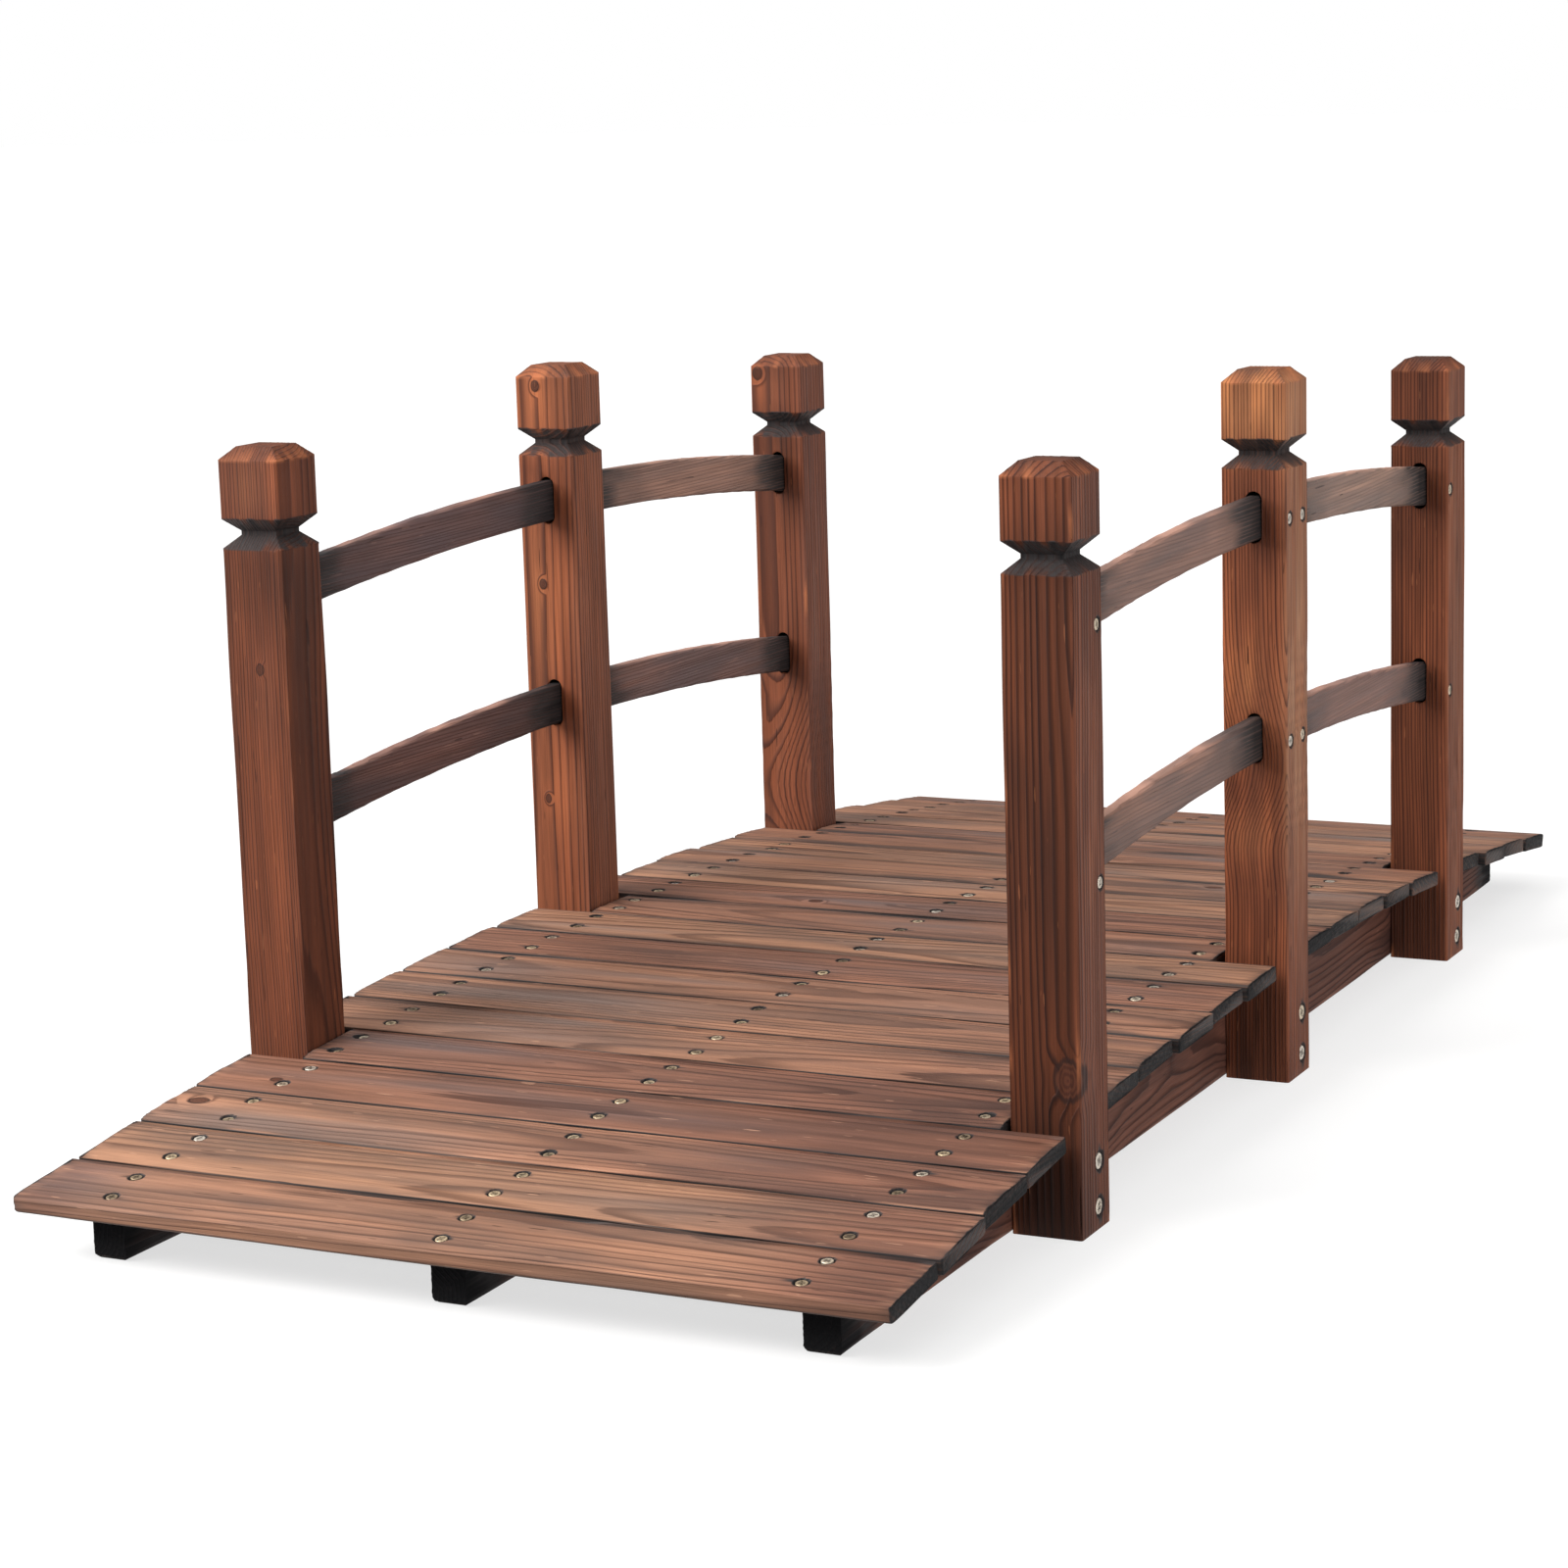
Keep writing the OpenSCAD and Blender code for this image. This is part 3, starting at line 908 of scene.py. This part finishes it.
def screw_head():
    """A countersunk head of one unit radius, its top at zero, with a cross recess."""
    bm = bmesh.new()
    bmesh.ops.create_grid(bm, x_segments=3, y_segments=3, size=1.0)
    corners = [f for f in bm.faces if min(map(abs, f.calc_center_median().xy)) > 0.4]
    bmesh.ops.delete(bm, geom=corners, context="FACES")
    for v in bm.verts:
        for axis in (0, 1):
            v.co[axis] = math.copysign(0.62 if abs(v.co[axis]) > 0.5 else 0.19, v.co[axis])
    cross = bm.faces[:]
    cross_rim = [e for e in bm.edges if e.is_boundary]
    rim = bmesh.ops.create_circle(bm, cap_ends=False, segments=12, radius=0.94)["verts"]
    bmesh.ops.rotate(bm, verts=rim, cent=(0, 0, 0), matrix=Matrix.Rotation(math.radians(15.0), 3, "Z"))
    circle = [e for e in bm.edges if e.verts[0] in rim and e.verts[1] in rim]
    bmesh.ops.bridge_loops(bm, edges=cross_rim + circle)
    recess = bmesh.ops.extrude_face_region(bm, geom=cross)["geom"]
    bmesh.ops.delete(bm, geom=cross, context="FACES_ONLY")
    sunk = [g for g in recess if isinstance(g, bmesh.types.BMVert)]
    bmesh.ops.translate(bm, verts=sunk, vec=(0.0, 0.0, -0.34))
    bmesh.ops.scale(bm, verts=sunk, vec=(0.85, 0.85, 1.0))
    for grow, drop in ((1.064, -0.07), (1.0, -0.40)):
        skirt = bmesh.ops.extrude_edge_only(bm, edges=circle)["geom"]
        circle = [g for g in skirt if isinstance(g, bmesh.types.BMEdge) and g.is_boundary]
        lower = [g for g in skirt if isinstance(g, bmesh.types.BMVert)]
        bmesh.ops.translate(bm, verts=lower, vec=(0.0, 0.0, drop))
        bmesh.ops.scale(bm, verts=lower, vec=(grow, grow, 1.0))
    bmesh.ops.recalc_face_normals(bm, faces=bm.faces)
    mesh = bpy.data.meshes.new("screw_head")
    bm.to_mesh(mesh)
    bm.free()
    return mesh


def screws(name, places, dullest, material):
    """One piece of many heads: places are (matrix, head radius); dullest is the lowest shine of a head."""
    head = screw_head()
    dice = np.random.default_rng(len(places))
    bm = bmesh.new()
    shade = bm.verts.layers.float.new("head_tone")
    sunk = bm.verts.layers.float.new("recess")
    for place, radius in places:
        known = len(bm.verts)
        bm.from_mesh(head)
        bm.verts.ensure_lookup_table()
        fresh = bm.verts[known:]
        turn = Matrix.Rotation(dice.uniform(0.0, math.pi), 4, "Z")
        tilt = Matrix.Rotation(dice.uniform(-0.05, 0.05), 4, "X")
        bmesh.ops.transform(bm, matrix=place @ tilt @ turn @ Matrix.Scale(radius, 4), verts=fresh)
        tone = dice.uniform(dullest, 1.0)
        for v, plain in zip(fresh, head.vertices):
            v[shade] = tone
            inside = plain.co.xy.length < 0.7
            # Painted shade: the cross recess and its rim are marked to be drawn dark
            v[sunk] = (1.0 if plain.co.z < -0.2 else 0.45) if inside else 0.0
    bpy.data.meshes.remove(head)
    mesh = bpy.data.meshes.new(name)
    bm.to_mesh(mesh)
    bm.free()
    finished_piece(name, mesh, 35.0, material)


def deck_screws(material):
    places = []
    for number in range(1, BOARD_COUNT + 1):
        to_bridge = board_place(number).inverted()
        for along, across, head in board_screws(number):
            spot = Matrix.Translation((along, across, BOARD_THICKNESS - DECK_SCREW_SINK))
            places.append((to_bridge @ spot, head))
    screws("deck_screws", places, 0.22, material)


def outer_face_screws(material):
    places = []
    for node in POST_TIMBERS:
        low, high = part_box(node)
        outward = outward_side(node)
        face = high.x if outward > 0 else low.x
        middle = (low.y + high.y) / 2
        turn = Matrix.Rotation(outward * math.pi / 2, 4, "Y")
        for height, across, head in post_screws(node):
            spot = Matrix.Translation((face - outward * POST_SCREW_SINK, middle + across, height))
            places.append((spot @ turn, head))
    screws("post_screws", places, 0.7, material)


class Recipe:
    """Short names for adding nodes to a material."""

    def __init__(self, name):
        self.material = bpy.data.materials.new(name)
        self.material.use_nodes = True
        self.tree = self.material.node_tree
        self.shader = self.tree.nodes["Principled BSDF"]

    def add(self, kind, inputs=(), **settings):
        made = self.tree.nodes.new(kind)
        for key, value in settings.items():
            setattr(made, key, value)
        for socket, value in dict(inputs).items():
            if isinstance(value, bpy.types.NodeSocket):
                self.tree.links.new(value, made.inputs[socket])
            else:
                made.inputs[socket].default_value = value
        return made

    def calc(self, operation, a, b=0.0, c=0.0):
        return self.add("ShaderNodeMath", {0: a, 1: b, 2: c}, operation=operation).outputs[0]

    def times(self, a, b):
        return self.calc("MULTIPLY", a, b)

    def scaled(self, value, factor, start):
        return self.calc("MULTIPLY_ADD", value, factor, start)

    def attribute(self, label, output="Vector"):
        return self.add("ShaderNodeAttribute", attribute_name=label).outputs[output]

    def noise(self, vector, scale, detail):
        placed = self.add("ShaderNodeMapping", {"Vector": vector, "Scale": scale}).outputs[0]
        inputs = {"Vector": placed, "Scale": 1.0, "Detail": detail}
        return self.add("ShaderNodeTexNoise", inputs).outputs["Fac"]

    def length(self, vector):
        return self.add("ShaderNodeVectorMath", {0: vector}, operation="LENGTH").outputs["Value"]

    def between(self, value, low, high):
        inputs = {"Value": value, "From Min": low, "From Max": high}
        return self.add("ShaderNodeMapRange", inputs, interpolation_type="SMOOTHSTEP").outputs[0]

    def blend(self, share, a, b, how="MIX"):
        inputs = {0: share, 6: opaque(a), 7: opaque(b)}
        return self.add("ShaderNodeMix", inputs, data_type="RGBA", blend_type=how).outputs[2]

    def tint(self, colour, factor):
        return self.blend(1.0, colour, factor, "MULTIPLY")

    def link(self, value, socket):
        self.tree.links.new(value, self.shader.inputs[socket])


def opaque(colour):
    """A colour of three numbers with full alpha; a socket as it is."""
    return (*colour, 1.0) if isinstance(colour, tuple) else colour


def altered(colour, factors):
    return tuple(part * factor for part, factor in zip(colour, factors))


class BrushedWood(Recipe):
    """Brushed softwood: the stick's own rings and knots, fibre, smoky stain, painted light and shade in
    its tone, charring with painted shade, and worn edges with a painted highlight.
    """

    def __init__(self, name, pale, deep):
        super().__init__(name)
        self.pale = pale
        self.deep = deep
        self.fibre = self.attribute("fibre")
        self.hairs = self.noise(self.fibre, (22.0, 1100.0, 1100.0), 2.0)
        self.threads = self.noise(self.fibre, (9.0, 330.0, 330.0), 2.0)
        marks_and_painted_light = self.add("ShaderNodeSeparateXYZ", {0: self.attribute("marks_and_painted_light")})
        self.scorch, self.wear, self.tone = marks_and_painted_light.outputs
        knot = self.attribute("knot")
        inputs = {0: knot, 1: (0.42, 1.0, 1.0)}
        drawn_out = self.add("ShaderNodeVectorMath", inputs, operation="MULTIPLY").outputs[0]
        ragged_edge = self.scaled(self.threads, 0.5, -0.25)
        self.from_knot = self.calc("ADD", self.length(knot), ragged_edge)
        self.from_halo = self.calc("ADD", self.length(drawn_out), ragged_edge)

    def rings(self, line_strength):
        """The dark line of each year, and how deep its colour goes."""
        round_knot = self.between(self.from_knot, 2.4, 0.5)
        years = self.scaled(self.threads, 0.22, self.attribute("years", "Fac"))
        years = self.scaled(round_knot, 1.1, years)
        part = self.calc("FRACT", years)
        this_year = {"W": self.calc("FLOOR", years)}
        each = self.add("ShaderNodeTexWhiteNoise", this_year, noise_dimensions="1D").outputs["Value"]
        line = self.times(self.between(part, 0.52, 0.88), self.between(part, 1.0, 0.92))
        strength = self.scaled(each, 0.45 * line_strength, 0.55 * line_strength)
        return line, self.times(line, strength)

    def stained(self, depth, smoke, smoke_share, dull):
        """Pale and deep wood under a smoky stain, greyed in places (partly a painted sheen), in the
        stick's tone, which carries painted light and shade.
        """
        streaks = self.noise(self.fibre, (2.2, 75.0, 75.0), 3.0)
        clouds = self.noise(self.fibre, (5.5, 24.0, 24.0), 3.0)
        warmth = self.noise(self.fibre, (3.0, 40.0, 40.0), 2.0)
        colour = self.blend(depth, self.pale, self.deep)
        cooler = self.blend(0.38, colour, smoke)
        colour = self.blend(self.between(warmth, 0.62, 0.36), colour, cooler)
        colour = self.tint(colour, self.scaled(streaks, 0.7, 0.65))
        colour = self.tint(colour, self.scaled(self.threads, 0.8, 0.60))
        colour = self.tint(colour, self.scaled(self.hairs, 0.8, 0.60))
        colour = self.blend(self.times(self.between(clouds, 0.46, 0.70), smoke_share), colour, smoke)
        greyed_colour = self.tint(dull, self.scaled(self.threads, 0.7, 0.65))
        greyed_colour = self.blend(self.times(depth, 0.45), greyed_colour, self.deep)
        colour = self.blend(self.attribute("greyed", "Fac"), colour, greyed_colour)
        # The tone carries painted light and shade as well as the stick's own tone
        colour = self.tint(colour, self.times(self.tone, 2.0))
        cast = self.blend(self.between(self.tone, 0.25, 0.90), (1.08, 0.94, 0.98), (1.0, 1.15, 1.06))
        return self.tint(colour, cast)

    def knotted(self, colour):
        """Pale halos round the knots, and their ringed heartwood with a dark rim."""
        halo = self.times(self.between(self.from_halo, 2.6, 0.6), 0.22)
        colour = self.blend(halo, colour, self.tint(colour, (1.9, 1.75, 1.6)))
        rings = self.calc("PINGPONG", self.times(self.from_knot, 3.0), 0.5)
        heartwood = self.blend(
            self.between(rings, 0.1, 0.4), (0.060, 0.018, 0.010), (0.098, 0.031, 0.016)
        )
        core = self.times(self.between(self.from_knot, 1.15, 0.85), 0.9)
        colour = self.blend(core, colour, heartwood)
        from_rim = self.calc("ABSOLUTE", self.calc("SUBTRACT", self.from_knot, 1.02))
        rim = self.times(self.between(from_rim, 0.24, 0.06), 0.75)
        return self.blend(rim, colour, (0.022, 0.009, 0.007))

    def worn(self, colour, flecks):
        """Dark drying checks, small pale chips, and paler worn edges, which on the boards' arrises are
        also a painted highlight.
        """
        checks = self.between(self.noise(self.fibre, (30.0, 420.0, 420.0), 0.0), 0.185, 0.160)
        colour = self.blend(self.times(checks, 0.75), colour, altered(self.deep, (0.35, 0.35, 0.4)))
        chips = self.between(self.noise(self.fibre, (45.0, 480.0, 480.0), 0.0), 0.800, 0.830)
        colour = self.blend(self.times(chips, flecks), colour, altered(self.pale, (1.9, 2.1, 2.2)))
        return self.blend(self.times(self.wear, 0.85), colour, altered(self.pale, (1.6, 1.65, 1.7)))

    def scorched(self, colour, line):
        """Soot and charcoal over the charred places and over the painted shade of the gaps, undersides and
        countersinks, and how far each goes to charcoal.
        """
        # Charring and the painted shade of gaps, undersides and countersinks both go to soot and charcoal
        # here
        ragged = self.calc("ADD", self.scorch, self.scaled(self.threads, 0.4, -0.2))
        browned = self.times(self.between(ragged, 0.08, 0.70), self.scaled(line, -0.40, 0.96))
        soot_and_shade_colour = self.blend(self.threads, (0.014, 0.0125, 0.013), (0.053, 0.048, 0.049))
        charcoal = self.blend(self.hairs, (0.003, 0.003, 0.0035), (0.016, 0.0155, 0.017))
        charred = self.between(ragged, 0.70, 1.0)
        colour = self.blend(browned, colour, soot_and_shade_colour)
        return self.blend(charred, colour, charcoal), charred

    def surface(self, line, charred, sheen):
        """Roughness, shine and the fine brushed bump."""
        fuzzy = self.scaled(self.hairs, 0.30, 0.46)
        self.link(self.scaled(charred, 0.22, fuzzy), "Roughness")
        self.shader.inputs["Specular IOR Level"].default_value = sheen
        fuzz = self.scaled(self.hairs, 0.5, self.times(self.threads, 0.5))
        height = self.calc("ADD", self.times(line, 0.7), fuzz)
        bump = self.add("ShaderNodeBump", {"Height": height, "Distance": 0.0008, "Strength": 0.7})
        self.link(bump.outputs[0], "Normal")


def stained_wood(name, pale, deep, smoke, dull, smoke_share, line_strength, flecks, sheen):
    wood = BrushedWood(name, pale, deep)
    line, depth = wood.rings(line_strength)
    colour = wood.stained(depth, smoke, smoke_share, dull)
    colour = wood.knotted(colour)
    colour = wood.worn(colour, flecks)
    colour, charred = wood.scorched(colour, line)
    wood.link(colour, "Base Color")
    wood.surface(line, charred, sheen)
    return wood.material


def screw_metal():
    """Dull yellow zinc, scuffed, darker in some heads, with painted shade in the cross recesses."""
    zinc = Recipe("dull_zinc")
    place = zinc.add("ShaderNodeTexCoord").outputs["Object"]
    inputs = {"Vector": place, "Scale": 900.0, "Detail": 3.0}
    scuffs = zinc.add("ShaderNodeTexNoise", inputs).outputs["Fac"]
    tone = zinc.attribute("head_tone", "Fac")
    brass = zinc.blend(zinc.between(tone, 0.10, 0.55), (0.16, 0.105, 0.065), (0.72, 0.56, 0.36))
    fresh = zinc.blend(zinc.between(tone, 0.60, 0.95), brass, (0.80, 0.72, 0.62))
    dulled = zinc.blend(zinc.between(scuffs, 0.50, 0.80), fresh, (0.25, 0.19, 0.14))
    # Painted shade: near-black in the cross recess
    colour = zinc.blend(zinc.attribute("recess", "Fac"), dulled, (0.03, 0.022, 0.016))
    zinc.link(colour, "Base Color")
    zinc.link(zinc.scaled(scuffs, 0.35, 0.30), "Roughness")
    zinc.shader.inputs["Metallic"].default_value = 0.7
    return zinc.material


camera_from_photograph()
studio()
post_wood = stained_wood(
    "brushed_post_wood", pale=(0.385, 0.124, 0.048), deep=(0.072, 0.021, 0.011),
    smoke=(0.075, 0.030, 0.020), dull=(0.290, 0.155, 0.112),
    smoke_share=0.40, line_strength=0.98, flecks=0.20, sheen=0.20,
)
deck_wood = stained_wood(
    "brushed_deck_wood", pale=(0.311, 0.155, 0.095), deep=(0.090, 0.038, 0.023),
    smoke=(0.095, 0.060, 0.049), dull=(0.165, 0.125, 0.112),
    smoke_share=0.55, line_strength=0.92, flecks=0.50, sheen=0.22,
)
rail_wood = stained_wood(
    "smoked_rail_wood", pale=(0.372, 0.196, 0.142), deep=(0.150, 0.082, 0.064),
    smoke=(0.120, 0.092, 0.090), dull=(0.185, 0.150, 0.155),
    smoke_share=0.60, line_strength=0.55, flecks=0.15, sheen=0.22,
)
bearer_wood = stained_wood(
    "smoked_bearer_wood", pale=(0.260, 0.120, 0.080), deep=(0.040, 0.018, 0.014),
    smoke=(0.060, 0.036, 0.032), dull=(0.10, 0.08, 0.07),
    smoke_share=0.75, line_strength=0.9, flecks=0.15, sheen=0.06,
)
for number in range(1, BOARD_COUNT + 1):
    deck_board(number, deck_wood)
for node in POST_TIMBERS:
    post(node, post_wood)
for number, node in enumerate(sorted(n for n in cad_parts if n.endswith("_rail"))):
    rail(node, number, rail_wood)
for number, node in enumerate(("left_bearer", "middle_bearer", "right_bearer")):
    bearer(node, number, bearer_wood)
zinc_screws = screw_metal()
deck_screws(zinc_screws)
outer_face_screws(zinc_screws)
